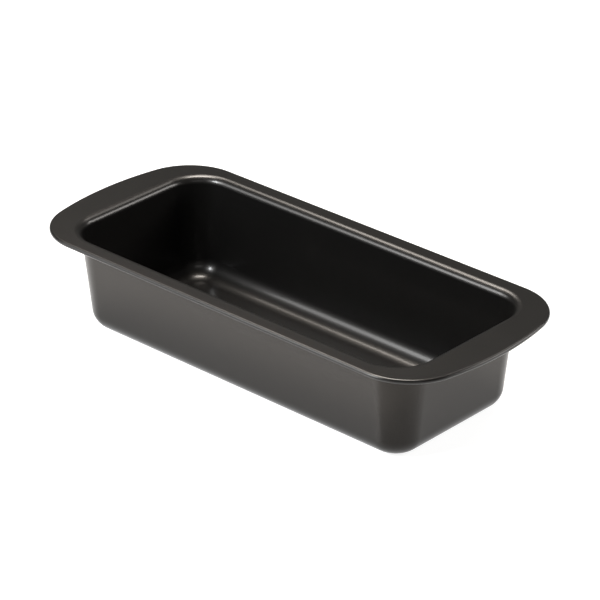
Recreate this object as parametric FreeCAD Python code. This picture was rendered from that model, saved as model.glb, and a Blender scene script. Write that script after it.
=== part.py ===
import FreeCAD, Part
import math
import os

# A one-piece pressed loaf pan, in millimetres.
# +Z is up, the long side lies along X, and the origin is the centre of the base on the rest plane.
# The steel sheet is pressed in one piece: floor, drafted walls, flat flange and an edge curled under.
# A non-stick coat covers its food side and a heat-resistant coat covers its outer side.

# ---- driving dimensions ----
overall_length = 342.0        # over the curled edge, along X
overall_width = 151.0         # over the curled edge, along Y
overall_height = 70.0         # rest plane to the top of the flange
grip_depth = 22.7             # flange at the two ends, from the mouth edge to the outside of the curl
side_flange_width = 9.2       # flange along the two long sides, measured the same way
steel_gauge = 0.6             # thickness of the sheet
coat_thickness = 0.05         # thickness of each coat
wall_draft = 6.0              # degrees by which every wall leans outwards
mouth_corner_radius = 30.0    # plan radius of the mouth edge, where the flange turns down into the wall
rim_fillet_radius = 5.5       # food-side radius between flange and wall
floor_fillet_radius = 13.5    # food-side radius between wall and floor
rim_corner_radius = 39.5      # plan radius of the four outer corners
grip_edge_radius = 211.5      # plan radius of the two bowed ends
curl_radius = 1.5             # outer radius of the curled edge, on the steel
curl_sweep = 270.0            # degrees through which the edge is rolled

# ---- sizes that follow from them ----
steel_top = overall_height - coat_thickness
steel_floor = coat_thickness + steel_gauge
steel_half_length = overall_length / 2 - coat_thickness
steel_half_width = overall_width / 2 - coat_thickness
corner_axis_x = overall_length / 2 - grip_depth - mouth_corner_radius
corner_axis_y = overall_width / 2 - side_flange_width - mouth_corner_radius

# Every surface of the sheet and its coats is the steel's food-side face moved outwards by a depth:
# zero is that face, the gauge is the steel's outer face, and a negative depth lies in the food-side coat.
FOOD_COAT = (-coat_thickness, 0.0)
STEEL = (0.0, steel_gauge)
OUTER_COAT = (steel_gauge, steel_gauge + coat_thickness)

UP = FreeCAD.Vector(0, 0, 1)

# Feet of the vertical axes that the four mouth corners turn about, anticlockwise.
CORNER_AXES = [
    FreeCAD.Vector(x * corner_axis_x, y * corner_axis_y, 0)
    for x, y in ((1, 1), (-1, 1), (-1, -1), (1, -1))
]


def direction(angle, z=0.0):
    """Horizontal unit vector at an angle in degrees from +X, with an optional height."""
    turn = math.radians(angle)
    return FreeCAD.Vector(math.cos(turn), math.sin(turn), z)


def in_section(origin, angle, reach, z):
    """Point that lies at a reach from a vertical axis, in the vertical plane at an angle, at height z."""
    return FreeCAD.Vector(origin.x, origin.y, 0) + direction(angle) * reach + UP * z


def arc_through(first, middle, last):
    """Edge of the arc through three points."""
    return Part.Arc(first, middle, last).toShape()


def face_of(edges):
    """Flat face inside a closed loop of edges."""
    return Part.Face(Part.Wire(edges))


def floor_fillet_reach():
    """Distance from a corner axis to the centre of the floor fillet, so that wall and fillets are tangent."""
    lean = math.radians(wall_draft)
    drop = (steel_floor + floor_fillet_radius) - (steel_top - rim_fillet_radius)
    run = floor_fillet_radius + rim_fillet_radius - drop * math.sin(lean)
    return mouth_corner_radius - run / math.cos(lean)


def wall_path(origin, angle, depth):
    """Edges of one wall surface in section: rim fillet, drafted wall, floor fillet, from the top down."""
    rim_centre = in_section(origin, angle, mouth_corner_radius, steel_top - rim_fillet_radius)
    floor_centre = in_section(origin, angle, floor_fillet_reach(), steel_floor + floor_fillet_radius)
    rim_radius = rim_fillet_radius - depth
    floor_radius = floor_fillet_radius + depth

    def inward(tilt):
        """Food-side normal in the section, tilted from straight up towards the cavity."""
        return UP * math.cos(math.radians(tilt)) - direction(angle) * math.sin(math.radians(tilt))

    wall_tilt = 90.0 - wall_draft
    rim_points = [rim_centre + inward(tilt) * rim_radius for tilt in (0.0, wall_tilt / 2, wall_tilt)]
    floor_points = [floor_centre - inward(tilt) * floor_radius for tilt in (wall_tilt, wall_tilt / 2, 0.0)]
    return [
        arc_through(*rim_points),
        Part.makeLine(rim_points[-1], floor_points[0]),
        arc_through(*floor_points),
    ]


def wall_section(origin, angle, layer):
    """Closed section of one layer's wall, with both fillets, in the vertical plane at an angle."""
    near = wall_path(origin, angle, layer[0])
    far = wall_path(origin, angle, layer[1])
    rim_end = Part.makeLine(near[0].firstVertex(True).Point, far[0].firstVertex(True).Point)
    floor_end = Part.makeLine(near[-1].lastVertex(True).Point, far[-1].lastVertex(True).Point)
    return face_of(Part.sortEdges(near + [floor_end] + far + [rim_end])[0])


def walls(layer):
    """Four straight walls and the four corners between them."""
    solids = []
    for index, axis in enumerate(CORNER_AXES):
        start = 90.0 * index
        solids.append(wall_section(axis, start, layer).revolve(axis, UP, 90.0))
        next_axis = CORNER_AXES[(index + 1) % len(CORNER_AXES)]
        solids.append(wall_section(axis, start + 90.0, layer).extrude(next_axis - axis))
    return solids


def rounded_rectangle(reach, z):
    """Closed wire at a reach from the rectangle of the four corner axes."""
    edges = []
    for index, axis in enumerate(CORNER_AXES):
        start = 90.0 * index
        turn = [in_section(axis, start + step, reach, z) for step in (0.0, 45.0, 90.0)]
        edges.append(arc_through(*turn))
        next_axis = CORNER_AXES[(index + 1) % len(CORNER_AXES)]
        edges.append(Part.makeLine(turn[-1], in_section(next_axis, start + 90.0, reach, z)))
    return Part.Wire(edges)


def floor(layer):
    """Flat floor inside the floor fillet."""
    lower_z = steel_floor - layer[1]
    plate = Part.Face(rounded_rectangle(floor_fillet_reach(), lower_z))
    return plate.extrude(UP * (layer[1] - layer[0]))


def outline_arcs():
    """Arcs of the curl's centre line as (centre, radius, start angle, end angle), anticlockwise.

    A bowed end, the corner after it, and the same two again at the other end; the long sides are the
    straight lines that join them.
    """
    end_centre_x = steel_half_length - grip_edge_radius
    corner_y = steel_half_width - rim_corner_radius
    reach = grip_edge_radius - rim_corner_radius
    corner_x = end_centre_x + math.sqrt(reach ** 2 - corner_y ** 2)
    spread = math.degrees(math.atan2(corner_y, corner_x - end_centre_x))
    end_radius = grip_edge_radius - curl_radius
    corner_radius = rim_corner_radius - curl_radius
    arcs = []
    for side in (1, -1):
        turn = 0.0 if side == 1 else 180.0
        end_centre = FreeCAD.Vector(side * end_centre_x, 0, 0)
        before = FreeCAD.Vector(side * corner_x, -side * corner_y, 0)
        after = FreeCAD.Vector(side * corner_x, side * corner_y, 0)
        arcs.append((before, corner_radius, turn - 90.0, turn - spread))
        arcs.append((end_centre, end_radius, turn - spread, turn + spread))
        arcs.append((after, corner_radius, turn + spread, turn + 90.0))
    return arcs


def outline(z):
    """Closed wire of the curl's centre line, which is also the outer edge of the flat flange."""
    arcs = outline_arcs()
    edges = []
    for index, (centre, radius, start, end) in enumerate(arcs):
        turn = [in_section(centre, angle, radius, z) for angle in (start, (start + end) / 2, end)]
        edges.append(arc_through(*turn))
        next_centre, next_radius, next_start, _ = arcs[(index + 1) % len(arcs)]
        joint = in_section(next_centre, next_start, next_radius, z)
        if joint.distanceToPoint(turn[-1]) > curl_radius:
            edges.append(Part.makeLine(turn[-1], joint))
    return Part.Wire(edges)


def flange(layer):
    """Flat flange between the mouth edge and the curl."""
    lower_z = steel_top - layer[1]
    plate = Part.Face([outline(lower_z), rounded_rectangle(mouth_corner_radius, lower_z)])
    plate.validate()
    return plate.extrude(UP * (layer[1] - layer[0]))


def curl_section(centre, angle, reach, layer):
    """Closed section of the curled edge, rolled outwards and under from the flange."""
    roll_centre = in_section(centre, angle, reach, steel_top - curl_radius)

    def outward(tilt):
        """Normal of the roll, tilted from straight up towards the outside."""
        turn = math.radians(tilt)
        return UP * math.cos(turn) + direction(angle) * math.sin(turn)

    tilts = (0.0, curl_sweep / 2, curl_sweep)
    near = [roll_centre + outward(tilt) * (curl_radius - layer[0]) for tilt in tilts]
    far = [roll_centre + outward(tilt) * (curl_radius - layer[1]) for tilt in tilts]
    return face_of([
        arc_through(*near),
        Part.makeLine(near[-1], far[-1]),
        arc_through(*reversed(far)),
        Part.makeLine(far[0], near[0]),
    ])


def curl(layer):
    """Curled edge along every arc and straight side of the outline."""
    arcs = outline_arcs()
    solids = []
    for index, (centre, radius, start, end) in enumerate(arcs):
        solids.append(curl_section(centre, start, radius, layer).revolve(centre, UP, end - start))
        next_centre, next_radius, next_start, _ = arcs[(index + 1) % len(arcs)]
        run = in_section(next_centre, next_start, next_radius, 0) - in_section(centre, end, radius, 0)
        if run.Length > curl_radius:
            solids.append(curl_section(centre, end, radius, layer).extrude(run))
    return solids


def pressed_layer(layer):
    """One layer of the pan as a single solid: floor, walls, flange and curled edge."""
    pieces = [floor(layer)] + walls(layer) + [flange(layer)] + curl(layer)
    joined = pieces[0].multiFuse(pieces[1:]).removeSplitter()
    if len(joined.Solids) != 1 or not joined.isValid():
        raise ValueError("a layer of the pan did not join into one valid solid")
    return joined.Solids[0]


NODES = {
    "steel_shell": STEEL,
    "inner_nonstick_coating": FOOD_COAT,
    "outer_coating": OUTER_COAT,
}

os.makedirs("parts", exist_ok=True)
for name, layer in NODES.items():
    pressed_layer(layer).exportStep(f"parts/{name}.step")
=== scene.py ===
"""A pressed-steel loaf pan with a satin non-stick finish, on a pale studio floor."""
from __future__ import annotations

import logging
import math
from dataclasses import dataclass, field
from enum import Enum

import bpy
import numpy as np
from mathutils import Matrix, Vector


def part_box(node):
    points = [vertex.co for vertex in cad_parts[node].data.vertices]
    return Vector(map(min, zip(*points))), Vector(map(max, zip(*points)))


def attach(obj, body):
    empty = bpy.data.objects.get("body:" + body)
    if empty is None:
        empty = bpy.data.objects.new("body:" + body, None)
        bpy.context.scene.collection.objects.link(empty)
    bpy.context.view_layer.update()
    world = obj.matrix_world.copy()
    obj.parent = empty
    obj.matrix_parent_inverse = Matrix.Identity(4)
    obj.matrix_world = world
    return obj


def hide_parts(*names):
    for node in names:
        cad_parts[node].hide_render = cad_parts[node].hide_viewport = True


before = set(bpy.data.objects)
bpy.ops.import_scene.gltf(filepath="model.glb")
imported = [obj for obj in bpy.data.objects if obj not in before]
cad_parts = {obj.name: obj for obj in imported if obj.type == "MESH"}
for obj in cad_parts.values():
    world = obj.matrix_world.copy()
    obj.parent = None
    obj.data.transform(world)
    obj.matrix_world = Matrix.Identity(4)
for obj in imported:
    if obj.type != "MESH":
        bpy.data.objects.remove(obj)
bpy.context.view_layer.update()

LOG = logging.getLogger("loaf_pan")
MM = 0.001
SMALLEST_SLOPE = 1e-9  # keeps a line that never meets the long side from dividing by zero

Vec3 = tuple[float, float, float]


class CadNode(Enum):
    """The CAD nodes that the new pieces stand for."""

    SHEET = "steel_shell"
    LINING = "inner_nonstick_coating"
    OUTSIDE = "outer_coating"


class Slot(Enum):
    """Names for the pan's three finishes."""

    STEEL = "steel"
    NONSTICK = "nonstick"
    OUTER = "outer_coat"


class LightShape(Enum):
    """Outlines that a soft light can have."""

    RECTANGLE = "RECTANGLE"
    ELLIPSE = "ELLIPSE"

    @property
    def fill(self) -> float:
        """Share of its two sides' product that the outline covers."""
        return math.pi / 4 if self is LightShape.ELLIPSE else 1.0


# ---------------------------------------------------------------------------------------------
# Geometry
# ---------------------------------------------------------------------------------------------


@dataclass(frozen=True)
class PanSizes:
    """Sizes of the pressed sheet, in metres and radians.

    Length, width and height are over the coats. Fillets are on the steel's food side, corner and
    edge radii are in plan, and the curl's radius is on the outside of the steel.
    """

    length: float
    width: float
    height: float
    coat: float = 0.05 * MM
    gauge: float = 0.6 * MM
    grip_depth: float = 22.7 * MM
    side_flange: float = 9.2 * MM
    draft: float = math.radians(6.0)
    mouth_corner: float = 30.0 * MM
    rim_fillet: float = 5.5 * MM
    floor_fillet: float = 13.5 * MM
    rim_corner: float = 39.5 * MM
    grip_edge: float = 211.5 * MM
    curl: float = 1.5 * MM
    curl_sweep: float = math.radians(270.0)

    @classmethod
    def from_frame(cls) -> PanSizes:
        """Takes the overall sizes from the CAD nodes.

        Returns:
            The sizes, with the other values as the sheet has them.
        """
        low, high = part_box(CadNode.LINING.value)
        return cls(length=high[0] - low[0], width=high[1] - low[1], height=high[2])

    @property
    def steel_top(self) -> float:
        """Height of the steel on the flange."""
        return self.height - self.coat

    @property
    def steel_floor(self) -> float:
        """Height of the steel's food side on the floor."""
        return self.coat + self.gauge

    @property
    def axis_x(self) -> float:
        """Distance of the corner axes from the middle, along X."""
        return self.length / 2 - self.grip_depth - self.mouth_corner

    @property
    def axis_y(self) -> float:
        """Distance of the corner axes from the middle, along Y."""
        return self.width / 2 - self.side_flange - self.mouth_corner

    @property
    def floor_reach(self) -> float:
        """Distance from a corner axis to the centre of the floor fillet."""
        drop = (self.steel_floor + self.floor_fillet) - (self.steel_top - self.rim_fillet)
        run = self.floor_fillet + self.rim_fillet - drop * math.sin(self.draft)
        return self.mouth_corner - run / math.cos(self.draft)


@dataclass(frozen=True)
class Mesher:
    """How finely the surfaces are divided."""

    corner: int = 44
    long_side: int = 44
    short_side: int = 18
    floor_rings: int = 14
    floor_fillet: int = 22
    wall: int = 14
    rim_fillet: int = 20
    flange: int = 10
    curl: int = 36


@dataclass
class PanSurface:
    """The pan's surface as a function of two parameters.

    One parameter runs round the pan and the other runs from the middle of the floor, up the wall,
    over the flange and round the curled edge. A depth moves the whole surface outwards, square to
    itself, from the steel's food side.
    """

    sizes: PanSizes
    mesher: Mesher = field(default_factory=Mesher)

    def stations(self) -> tuple[np.ndarray, np.ndarray]:
        """Places round the pan, anticlockwise from the right-hand end.

        Each is a point on the rectangle of the corner axes and the direction square to the wall.
        A corner keeps its axis while the direction turns, and a side keeps its direction while
        the point moves.

        Returns:
            The points and the unit directions, as two arrays of X and Y.
        """
        sizes, mesher = self.sizes, self.mesher
        signs = np.array([(1, 1), (-1, 1), (-1, -1), (1, -1)], float)
        axes = signs * (sizes.axis_x, sizes.axis_y)
        points, angles = [], []
        for index, axis in enumerate(axes):
            turn = np.linspace(0.0, math.pi / 2, mesher.corner) + index * math.pi / 2
            points.append(np.repeat(axis[None, :], mesher.corner, axis=0))
            angles.append(turn)
            count = mesher.long_side if index % 2 == 0 else mesher.short_side
            step = np.linspace(0.0, 1.0, count + 2)[1:-1, None]
            points.append(axis * (1 - step) + axes[(index + 1) % 4] * step)
            angles.append(np.full(count, turn[-1]))
        angle = np.concatenate(angles)
        return np.concatenate(points), np.stack([np.cos(angle), np.sin(angle)], axis=1)

    def outline(self, points: np.ndarray, outward: np.ndarray) -> tuple[np.ndarray, np.ndarray]:
        """Where a straight line from each station meets the curl's centre line.

        The outline's quarter is an end arc, a corner arc and a straight side, each tangent to the
        next. The line is cut with all three, and the cut that lies on its own stretch is kept.

        Args:
            points: The stations' points.
            outward: The stations' unit directions.

        Returns:
            The points on the outline and the outline's own unit normals there.
        """
        sizes = self.sizes
        flip = np.where(np.abs(points) > 0, np.sign(points), 1.0)
        start, ray = np.abs(points), np.abs(outward)
        half_length = sizes.length / 2 - sizes.coat
        half_width = sizes.width / 2 - sizes.coat
        end_centre = np.array([half_length - sizes.grip_edge, 0.0])
        reach = sizes.grip_edge - sizes.rim_corner
        corner_y = half_width - sizes.rim_corner
        corner_centre = np.array([end_centre[0] + math.sqrt(reach**2 - corner_y**2), corner_y])
        spread = math.atan2(corner_y, corner_centre[0] - end_centre[0])

        def cut(centre: np.ndarray, radius: float) -> np.ndarray:
            """Far cut of each line with a circle, by the quadratic formula."""
            away = start - centre
            along = (away * ray).sum(axis=1)
            inside = np.maximum(along**2 - (away**2).sum(axis=1) + radius**2, 0.0)
            return start + ray * (np.sqrt(inside) - along)[:, None]

        on_end = cut(end_centre, sizes.grip_edge - sizes.curl)
        on_corner = cut(corner_centre, sizes.rim_corner - sizes.curl)
        climb = (half_width - sizes.curl - start[:, 1]) / np.maximum(ray[:, 1], SMALLEST_SLOPE)
        on_side = start + ray * climb[:, None]
        end_normal = (on_end - end_centre) / (sizes.grip_edge - sizes.curl)
        corner_normal = (on_corner - corner_centre) / (sizes.rim_corner - sizes.curl)
        side_normal = np.broadcast_to(np.array([0.0, 1.0]), start.shape)
        is_end = np.arctan2(end_normal[:, 1], end_normal[:, 0]) <= spread
        is_side = ~is_end & (on_side[:, 0] <= corner_centre[0])
        choose = [is_end[:, None], is_side[:, None]]
        place = np.select(choose, [on_end, on_side], on_corner)
        normal = np.select(choose, [end_normal, side_normal], corner_normal)
        return place * flip, normal * flip

    def rings(self, depth: float) -> tuple[np.ndarray, np.ndarray]:
        """Rings of points from just outside the floor's middle to the end of the curl.

        In section the surface is a flat floor, an arc, a straight leaning wall, an arc, a flat
        flange and a rolled arc. A point on an arc is its centre plus the radius times the normal.

        Args:
            depth: Distance outwards from the steel's food side.

        Returns:
            Points and food-side unit normals, each an array of ring, station and X, Y, Z.
        """
        sizes, mesher = self.sizes, self.mesher
        points, outward = self.stations()
        place, normal = [], []

        def add(centre: np.ndarray, direction: np.ndarray, radius: float, z: float, tilt: float) -> None:
            """Adds one ring: centre plus radius times the normal tilted outwards by an angle."""
            flat = centre + direction * (radius * math.sin(tilt))
            level = np.full((len(flat), 1), z + radius * math.cos(tilt))
            place.append(np.hstack([flat, level]))
            normal.append(np.hstack([direction * math.sin(tilt), np.full_like(level, math.cos(tilt))]))

        floor_edge = points + outward * sizes.floor_reach
        floor_centre_z = sizes.steel_floor + sizes.floor_fillet
        for share in np.linspace(0.0, 1.0, mesher.floor_rings + 1)[1:-1]:
            eased = 1.0 - (1.0 - share) ** 2
            add(floor_edge * eased, outward, 0.0, floor_centre_z - sizes.floor_fillet - depth, 0.0)
        lean = math.pi / 2 - sizes.draft
        for turn in np.linspace(0.0, lean, mesher.floor_fillet):
            add(floor_edge, outward, -(sizes.floor_fillet + depth), floor_centre_z, -turn)
        wall_foot, wall_normal = place[-1], normal[-1]
        mouth = points + outward * sizes.mouth_corner
        rim_centre_z = sizes.steel_top - sizes.rim_fillet
        wall_rings = len(place)
        for turn in np.linspace(lean, 0.0, mesher.rim_fillet):
            add(mouth, outward, sizes.rim_fillet - depth, rim_centre_z, -turn)
        eased = 0.5 - 0.5 * np.cos(np.linspace(0.0, math.pi, mesher.wall + 2)[1:-1])
        wall = [wall_foot * (1 - step) + place[wall_rings] * step for step in eased]
        place[wall_rings:wall_rings] = wall
        normal[wall_rings:wall_rings] = [wall_normal] * len(wall)
        edge, edge_normal = self.outline(points, outward)
        for step in np.linspace(0.0, 1.0, mesher.flange + 2)[1:-1]:
            add(mouth * (1 - step) + edge * step, outward, 0.0, sizes.steel_top - depth, 0.0)
        curl_centre_z = sizes.steel_top - sizes.curl
        for turn in np.linspace(0.0, sizes.curl_sweep, mesher.curl):
            add(edge, edge_normal, sizes.curl - depth, curl_centre_z, turn)
        return np.stack(place), np.stack(normal)

    def layer(self, name: str, near: float, far: float) -> bpy.types.Object:
        """Closed skin between two depths.

        The food-side face and the outer face share one grid, so they stay the same distance apart
        everywhere. A pole closes each in the middle of the floor, and a strip closes the curl's edge,
        whose normal is square to the strip's width and to the way that the edge runs.

        Args:
            name: Name of the new object.
            near: Depth of the food-side face.
            far: Depth of the outer face.

        Returns:
            The new object, with exact normals.
        """
        upper, upper_normal = self.rings(near)
        lower, lower_normal = self.rings(far)
        ring_count, station_count = upper.shape[:2]
        side_size = ring_count * station_count + 1
        poles = [(0.0, 0.0, self.sizes.steel_floor - depth) for depth in (near, far)]
        vertices = np.vstack([upper.reshape(-1, 3), poles[:1], lower.reshape(-1, 3), poles[1:]])
        normals = np.vstack([
            upper_normal.reshape(-1, 3), [(0.0, 0.0, 1.0)],
            -lower_normal.reshape(-1, 3), [(0.0, 0.0, -1.0)],
        ])
        ring = np.arange(ring_count - 1)[:, None] * station_count
        here = ring + np.arange(station_count)[None, :]
        there = ring + (np.arange(station_count)[None, :] + 1) % station_count
        quads = np.stack([here, here + station_count, there + station_count, there], axis=-1).reshape(-1, 4)
        first = np.arange(station_count)
        second = (first + 1) % station_count
        fan = np.stack([np.full(station_count, side_size - 1), first, second], axis=1)
        last = (ring_count - 1) * station_count
        below = side_size + last
        strip = np.stack([last + first, below + first, below + second, last + second], axis=1)
        all_quads = np.vstack([quads, side_size + quads[:, ::-1], strip])
        all_fans = np.vstack([fan, side_size + fan[:, ::-1]])
        corners = np.concatenate([all_quads.ravel(), all_fans.ravel()])
        corner_normals = normals[corners]
        strip_start = 4 * 2 * len(quads)
        along = np.roll(upper[-1], -1, axis=0) - np.roll(upper[-1], 1, axis=0)
        across = lower[-1] - upper[-1]
        edge_normal = np.cross(across, along)
        edge_normal /= np.linalg.norm(edge_normal, axis=1)[:, None]
        next_normal = edge_normal[second]
        strip_normals = np.stack([edge_normal, edge_normal, next_normal, next_normal], axis=1)
        corner_normals[strip_start:strip_start + 4 * station_count] = strip_normals.reshape(-1, 3)
        return build_mesh(name, vertices, all_quads, all_fans, corner_normals)


def build_mesh(
    name: str, vertices: np.ndarray, quads: np.ndarray, triangles: np.ndarray, corner_normals: np.ndarray
) -> bpy.types.Object:
    """Puts arrays into a new mesh object at the origin.

    Args:
        name: Name of the object and its mesh.
        vertices: Points, one row each.
        quads: Four vertex numbers a row.
        triangles: Three vertex numbers a row, which come after the quads.
        corner_normals: A unit normal for each face corner, in the faces' order.

    Returns:
        The linked object.
    """
    mesh = bpy.data.meshes.new(name)
    sizes = np.concatenate([np.full(len(quads), 4), np.full(len(triangles), 3)]).astype(np.int32)
    corners = np.concatenate([quads.ravel(), triangles.ravel()]).astype(np.int32)
    mesh.vertices.add(len(vertices))
    mesh.vertices.foreach_set("co", np.ascontiguousarray(vertices, np.float32).ravel())
    mesh.loops.add(len(corners))
    mesh.loops.foreach_set("vertex_index", corners)
    mesh.polygons.add(len(sizes))
    mesh.polygons.foreach_set("loop_start", np.concatenate([[0], np.cumsum(sizes)[:-1]]).astype(np.int32))
    mesh.polygons.foreach_set("use_smooth", np.ones(len(sizes), bool))
    mesh.update(calc_edges=True)
    mesh.validate()
    mesh.normals_split_custom_set(corner_normals.astype(np.float32))
    piece = bpy.data.objects.new(name, mesh)
    bpy.context.scene.collection.objects.link(piece)
    return piece


# ---------------------------------------------------------------------------------------------
# Finishes
# ---------------------------------------------------------------------------------------------


class NodePatch:
    """A material's node tree, with short ways to add and join nodes."""

    def __init__(self, name: str) -> None:
        """Starts an empty material with an output and a Principled shader."""
        self.material = bpy.data.materials.new(name)
        self.material.use_nodes = True
        self.tree = self.material.node_tree
        self.tree.nodes.clear()
        self.output = self.tree.nodes.new("ShaderNodeOutputMaterial")
        self.shader = self.tree.nodes.new("ShaderNodeBsdfPrincipled")
        self.join(self.shader.outputs[0], self.output.inputs["Surface"])
        self.place = self.tree.nodes.new("ShaderNodeTexCoord").outputs["Object"]

    def join(self, source: bpy.types.NodeSocket, target: bpy.types.NodeSocket) -> None:
        """Links an output socket to an input socket."""
        self.tree.links.new(source, target)

    def noise(self, scale: float, detail: float, stretch: Vec3 | None = None) -> bpy.types.NodeSocket:
        """Noise on object coordinates.

        Args:
            scale: Cells per metre.
            detail: Octaves.
            stretch: Optional scale along each axis.

        Returns:
            The noise's value socket.
        """
        place = self.place
        if stretch is not None:
            mapping = self.tree.nodes.new("ShaderNodeMapping")
            mapping.inputs["Scale"].default_value = stretch
            self.join(place, mapping.inputs["Vector"])
            place = mapping.outputs["Vector"]
        node = self.tree.nodes.new("ShaderNodeTexNoise")
        node.inputs["Scale"].default_value = scale
        node.inputs["Detail"].default_value = detail
        self.join(place, node.inputs["Vector"])
        return node.outputs["Fac"]

    def ramp(
        self, value: bpy.types.NodeSocket, low: tuple[float, Vec3], high: tuple[float, Vec3]
    ) -> bpy.types.NodeSocket:
        """Colour ramp between two stops.

        Args:
            value: The value to colour.
            low: Position and colour of the first stop.
            high: Position and colour of the second stop.

        Returns:
            The colour's socket.
        """
        node = self.tree.nodes.new("ShaderNodeValToRGB")
        for element, (position, colour) in zip(node.color_ramp.elements, (low, high)):
            element.position = position
            element.color = (*colour, 1.0)
        self.join(value, node.inputs["Fac"])
        return node.outputs["Color"]

    def span(self, value: bpy.types.NodeSocket, low: float, high: float) -> bpy.types.NodeSocket:
        """Maps a value from 0..1 to a span.

        Args:
            value: The value to map.
            low: Result at zero.
            high: Result at one.

        Returns:
            The mapped value's socket.
        """
        node = self.tree.nodes.new("ShaderNodeMapRange")
        node.inputs["To Min"].default_value = low
        node.inputs["To Max"].default_value = high
        self.join(value, node.inputs["Value"])
        return node.outputs["Result"]

    def painted_shade_by_height(self, top: float, at_base: float) -> bpy.types.NodeSocket:
        """A share that rises with height, for shade painted darker towards the base.

        Args:
            top: Height where the share is one.
            at_base: Share at height zero.

        Returns:
            The share's socket.
        """
        split = self.tree.nodes.new("ShaderNodeSeparateXYZ")
        self.join(self.place, split.inputs["Vector"])
        node = self.tree.nodes.new("ShaderNodeMapRange")
        node.inputs["From Max"].default_value = top
        node.inputs["To Min"].default_value = at_base
        self.join(split.outputs["Z"], node.inputs["Value"])
        return node.outputs["Result"]

    def scaled(self, colour: bpy.types.NodeSocket, share: bpy.types.NodeSocket) -> bpy.types.NodeSocket:
        """Multiplies a colour by a share.

        Args:
            colour: The colour's socket.
            share: The share's socket.

        Returns:
            The product's socket.
        """
        node = self.tree.nodes.new("ShaderNodeVectorMath")
        node.operation = "SCALE"
        self.join(colour, node.inputs[0])
        self.join(share, node.inputs["Scale"])
        return node.outputs["Vector"]

    def bump(self, height: bpy.types.NodeSocket, distance: float) -> None:
        """Bumps the shader's normal, on top of any earlier bump.

        Args:
            height: The bump's height, from 0 to 1.
            distance: What a height of 1 stands for, in metres.
        """
        node = self.tree.nodes.new("ShaderNodeBump")
        node.inputs["Strength"].default_value = 1.0
        node.inputs["Distance"].default_value = distance
        self.join(height, node.inputs["Height"])
        normal = self.shader.inputs["Normal"]
        if normal.is_linked:
            self.join(normal.links[0].from_socket, node.inputs["Normal"])
        self.join(node.outputs["Normal"], normal)


@dataclass(frozen=True)
class BakedCoat:
    """A baked-on satin coat: near-black binder, fine speckle and a slight orange peel.

    The speckle runs from a dark to a light shade. Near the base the coat's colour is darkened by a share of
    its shade. This is painted shade for the shadowed floor that the lower walls reflect, and it reaches its
    full shade at a given height. The roughness drifts in wide clouds.
    A sharper gloss can lie over the satin one. Scales are in cells per metre.
    """

    name: str
    dark: Vec3
    light: Vec3
    roughness: tuple[float, float]
    ior: float
    tint: Vec3
    gloss: float = 0.0
    gloss_roughness: float = 0.1
    painted_foot_shade: float = 1.0
    painted_shade_top: float = 70.0 * MM
    speckle_scale: float = 2600.0
    speckle_stops: tuple[float, float] = (0.35, 0.75)
    cloud_scale: float = 34.0
    peel_scale: float = 420.0
    peel_height: float = 0.0015 * MM
    grain_height: float = 0.0004 * MM

    def material(self) -> bpy.types.Material:
        """Builds the coat's material."""
        patch = NodePatch(self.name)
        patch.shader.inputs["IOR"].default_value = self.ior
        patch.shader.inputs["Specular Tint"].default_value = (*self.tint, 1.0)
        patch.shader.inputs["Coat Weight"].default_value = self.gloss
        patch.shader.inputs["Coat Roughness"].default_value = self.gloss_roughness
        patch.shader.inputs["Coat IOR"].default_value = self.ior
        speckle = patch.noise(self.speckle_scale, 2.0)
        low, high = self.speckle_stops
        shade = patch.ramp(speckle, (low, self.dark), (high, self.light))
        # Painted shade: the colour is darkened towards the base and reaches its full shade at the top
        # height.
        painted_shade_rise = patch.painted_shade_by_height(self.painted_shade_top, self.painted_foot_shade)
        patch.join(patch.scaled(shade, painted_shade_rise), patch.shader.inputs["Base Color"])
        cloud = patch.noise(self.cloud_scale, 3.0)
        patch.join(patch.span(cloud, *self.roughness), patch.shader.inputs["Roughness"])
        patch.bump(patch.noise(self.peel_scale, 2.0), self.peel_height)
        patch.bump(speckle, self.grain_height)
        return patch.material


@dataclass(frozen=True)
class SheetSteel:
    """Bare cold-rolled steel, as it shows at the sheared edge under the curl.

    Its grain is stretched along X. The same grain sets its shade, its roughness and its bumps.
    """

    name: str = "sheared_steel"
    dark: Vec3 = (0.30, 0.30, 0.31)
    light: Vec3 = (0.52, 0.52, 0.54)
    roughness: tuple[float, float] = (0.28, 0.45)
    grain_scale: float = 900.0
    grain_stretch: Vec3 = (0.05, 1.0, 1.0)
    grain_stops: tuple[float, float] = (0.3, 0.7)
    grain_height: float = 0.004 * MM

    def material(self) -> bpy.types.Material:
        """Builds the steel's material."""
        patch = NodePatch(self.name)
        patch.shader.inputs["Metallic"].default_value = 1.0
        grain = patch.noise(self.grain_scale, 3.0, self.grain_stretch)
        low, high = self.grain_stops
        shade = patch.ramp(grain, (low, self.dark), (high, self.light))
        patch.join(shade, patch.shader.inputs["Base Color"])
        patch.join(patch.span(grain, *self.roughness), patch.shader.inputs["Roughness"])
        patch.bump(grain, self.grain_height)
        return patch.material


FOOD_COAT = BakedCoat(
    name="satin_nonstick",
    dark=(0.0021, 0.0020, 0.0019),
    light=(0.0036, 0.0034, 0.0032),
    roughness=(0.31, 0.35),
    ior=1.38,
    tint=(1.0, 0.965, 0.93),
    gloss=0.35,
    gloss_roughness=0.13,
)
OUTER_COAT = BakedCoat(
    name="satin_outside_coat",
    dark=(0.0178, 0.0158, 0.0139),
    light=(0.0272, 0.0242, 0.0214),
    roughness=(0.22, 0.27),
    ior=1.35,
    tint=(1.0, 0.93, 0.86),
    # painted shade: the colour falls to 0.02 of itself at the floor, for the shadowed floor that the lower
    # walls reflect
    painted_foot_shade=0.02,
)


# ---------------------------------------------------------------------------------------------
# The pan
# ---------------------------------------------------------------------------------------------


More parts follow.
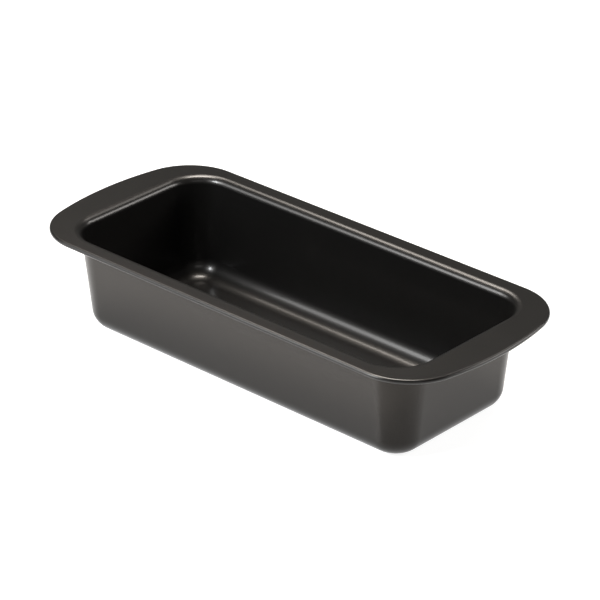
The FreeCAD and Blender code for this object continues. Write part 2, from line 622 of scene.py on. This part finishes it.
@dataclass
class LoafPan:
    """The pressed sheet and its two coats."""

    sizes: PanSizes

    def place(
        self, piece: bpy.types.Object, material: bpy.types.Material, node: CadNode, slot: Slot
    ) -> None:
        """Dresses a piece and puts it in the place of a CAD node.

        Args:
            piece: The new mesh.
            material: Its finish.
            node: The CAD node that it stands for.
            slot: Not used.
        """
        piece.data.materials.append(material)
        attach(piece, "root")
        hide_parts(node.value)
        LOG.info("%s replaces %s: %d faces", piece.name, node.value, len(piece.data.polygons))

    def build(self) -> None:
        """Builds the sheet and both coats."""
        surface = PanSurface(self.sizes)
        coat, gauge = self.sizes.coat, self.sizes.gauge
        sheet = surface.layer("steel_sheet", 0.0, gauge)
        self.place(sheet, SheetSteel().material(), CadNode.SHEET, Slot.STEEL)
        lining = surface.layer("nonstick_lining", -coat, 0.0)
        self.place(lining, FOOD_COAT.material(), CadNode.LINING, Slot.NONSTICK)
        outside = surface.layer("outside_coat", gauge, gauge + coat)
        self.place(outside, OUTER_COAT.material(), CadNode.OUTSIDE, Slot.OUTER)


# ---------------------------------------------------------------------------------------------
# The studio
# ---------------------------------------------------------------------------------------------


FLOOR_SPOT = (-0.12, 0.04, 0.0)    # part of the cavity's floor that the warm lamp faces
CORNER_SPOT = (-0.12, 0.05, 0.0)   # and the part that the cool lamp faces
PAN_MIDDLE = (0.0, 0.0, 0.03)
ALONG_LENGTH = (1.0, 0.0, 0.0)


@dataclass(frozen=True)
class Softbox:
    """A soft light that faces one point.

    Its first side lies as near as can be to a given direction. Its power is pi times its radiance
    times its area.
    """

    name: str
    place: Vec3
    target: Vec3
    sides: tuple[float, float]
    radiance: float
    colour: Vec3
    shape: LightShape = LightShape.RECTANGLE
    along: Vec3 = ALONG_LENGTH

    def build(self) -> None:
        """Adds the light to the scene."""
        light = bpy.data.lights.new(self.name, "AREA")
        light.shape = self.shape.value
        light.size, light.size_y = self.sides
        light.energy = math.pi * self.radiance * self.sides[0] * self.sides[1] * self.shape.fill
        light.color = self.colour
        lamp = bpy.data.objects.new(self.name, light)
        back = (Vector(self.place) - Vector(self.target)).normalized()
        along = Vector(self.along)
        side = (along - back * back.dot(along)).normalized()
        turn = Matrix((side, back.cross(side), back)).transposed()
        lamp.matrix_world = Matrix.Translation(self.place) @ turn.to_4x4()
        lamp.visible_camera = False
        bpy.context.scene.collection.objects.link(lamp)


# The two lamps draw the bright streaks on the floor and rim. The panels beside them fade out the
# streaks' ends, and the last three light the far rims and the near walls.
LIGHTS = (
    Softbox(
        name="warm_lamp",
        place=(-0.306, 0.190, 1.180),
        target=FLOOR_SPOT,
        sides=(0.62, 0.40),
        radiance=32.0,
        colour=(1.0, 0.94, 0.87),
        shape=LightShape.ELLIPSE,
        along=(0.82, 0.57, 0.0),
    ),
    Softbox(
        name="cool_lamp",
        place=(-0.306, -0.901, 0.713),
        target=CORNER_SPOT,
        sides=(0.34, 0.34),
        radiance=44.0,
        colour=(0.94, 0.97, 1.0),
        shape=LightShape.ELLIPSE,
    ),
    Softbox("warm_near", (-0.66, 0.38, 1.18), PAN_MIDDLE, (0.40, 0.50), 8.0, (1.0, 0.93, 0.86)),
    Softbox("warm_far", (-1.05, 0.38, 1.18), PAN_MIDDLE, (0.38, 0.50), 4.6, (1.0, 0.93, 0.86)),
    Softbox("cool_near", (-0.52, -0.88, 0.66), PAN_MIDDLE, (0.42, 0.46), 10.0, (0.98, 0.99, 1.0)),
    Softbox("cool_far", (-0.94, -0.80, 0.58), PAN_MIDDLE, (0.42, 0.46), 5.6, (0.98, 0.99, 1.0)),
    Softbox("rear_panel", (0.0, 0.86, 1.00), PAN_MIDDLE, (0.50, 0.30), 4.2, (1.0, 0.95, 0.90)),
    Softbox(
        name="side_panel",
        place=(0.95, 0.94, 0.60),
        target=PAN_MIDDLE,
        sides=(0.90, 0.40),
        radiance=9.5,
        colour=(1.0, 0.98, 0.96),
        along=(0.7, -0.7, 0.0),
    ),
    Softbox(
        name="near_panel",
        place=(1.00, -0.95, 1.05),
        target=PAN_MIDDLE,
        sides=(0.90, 0.40),
        radiance=1.2,
        colour=(1.0, 0.99, 0.98),
        along=(0.7, 0.7, 0.0),
    ),
)


@dataclass(frozen=True)
class SatinFloor:
    """The studio floor's finish: satin white that glows a little, with a faint mottle."""

    name: str = "satin_white"
    white: Vec3 = (0.36, 0.36, 0.36)
    mottle_shade: float = 0.985
    mottle_scale: float = 3.0
    mottle_stops: tuple[float, float] = (0.3, 0.7)
    roughness: float = 0.3
    glow: float = 0.88

    def material(self) -> bpy.types.Material:
        """Builds the floor's material."""
        patch = NodePatch(self.name)
        shade = tuple(value * self.mottle_shade for value in self.white)
        low, high = self.mottle_stops
        tone = patch.ramp(patch.noise(self.mottle_scale, 2.0), (low, shade), (high, self.white))
        patch.join(tone, patch.shader.inputs["Base Color"])
        patch.shader.inputs["Roughness"].default_value = self.roughness
        patch.shader.inputs["Emission Color"].default_value = (1.0, 1.0, 1.0, 1.0)
        patch.shader.inputs["Emission Strength"].default_value = self.glow
        return patch.material


@dataclass(frozen=True)
class Studio:
    """Pale floor, even surroundings, soft lights and the camera.

    The camera's azimuth turns it from -Y towards +X and its elevation lifts it, both in degrees.
    """

    floor_size: float = 30.0
    surround: Vec3 = (0.125, 0.122, 0.116)
    azimuth: float = 42.5546
    elevation: float = 27.1524
    distance: float = 1.9897
    focal_over_width: float = 5.2177
    target: Vec3 = (0.000428, 0.006069, 0.043152)
    lights: tuple[Softbox, ...] = LIGHTS

    def add_floor(self) -> None:
        """Adds a large plane for the pan to stand on."""
        half = self.floor_size / 2
        mesh = bpy.data.meshes.new("studio_floor")
        corners = [(-half, -half, 0.0), (half, -half, 0.0), (half, half, 0.0), (-half, half, 0.0)]
        mesh.from_pydata(corners, [], [(0, 1, 2, 3)])
        mesh.materials.append(SatinFloor().material())
        floor = bpy.data.objects.new("studio_floor", mesh)
        bpy.context.scene.collection.objects.link(floor)

    def add_surround(self) -> None:
        """Lights the scene evenly from all round."""
        world = bpy.data.worlds.new("surround")
        world.use_nodes = True
        background = world.node_tree.nodes["Background"]
        background.inputs["Color"].default_value = (*self.surround, 1.0)
        bpy.context.scene.world = world

    def add_camera(self) -> None:
        """Puts the camera at its azimuth, elevation and distance, looking at the target."""
        around, above = math.radians(self.azimuth), math.radians(self.elevation)
        back = Vector((
            math.sin(around) * math.cos(above), -math.cos(around) * math.cos(above), math.sin(above)
        ))
        data = bpy.data.cameras.new("camera")
        data.lens = data.sensor_width * self.focal_over_width
        camera = bpy.data.objects.new("camera", data)
        camera.location = Vector(self.target) + back * self.distance
        camera.rotation_euler = (-back).to_track_quat("-Z", "Y").to_euler()
        bpy.context.scene.collection.objects.link(camera)
        bpy.context.scene.camera = camera

    def build(self) -> None:
        """Builds the whole studio."""
        self.add_floor()
        self.add_surround()
        for softbox in self.lights:
            softbox.build()
        self.add_camera()
        bpy.context.scene.view_settings.view_transform = "Standard"
        LOG.info("studio with %d soft lights", len(self.lights))


def main() -> None:
    """Builds the pan and the studio."""
    logging.basicConfig(level=logging.INFO, format="%(name)s: %(message)s")
    LoafPan(PanSizes.from_frame()).build()
    Studio().build()


if __name__ == "__main__":
    main()
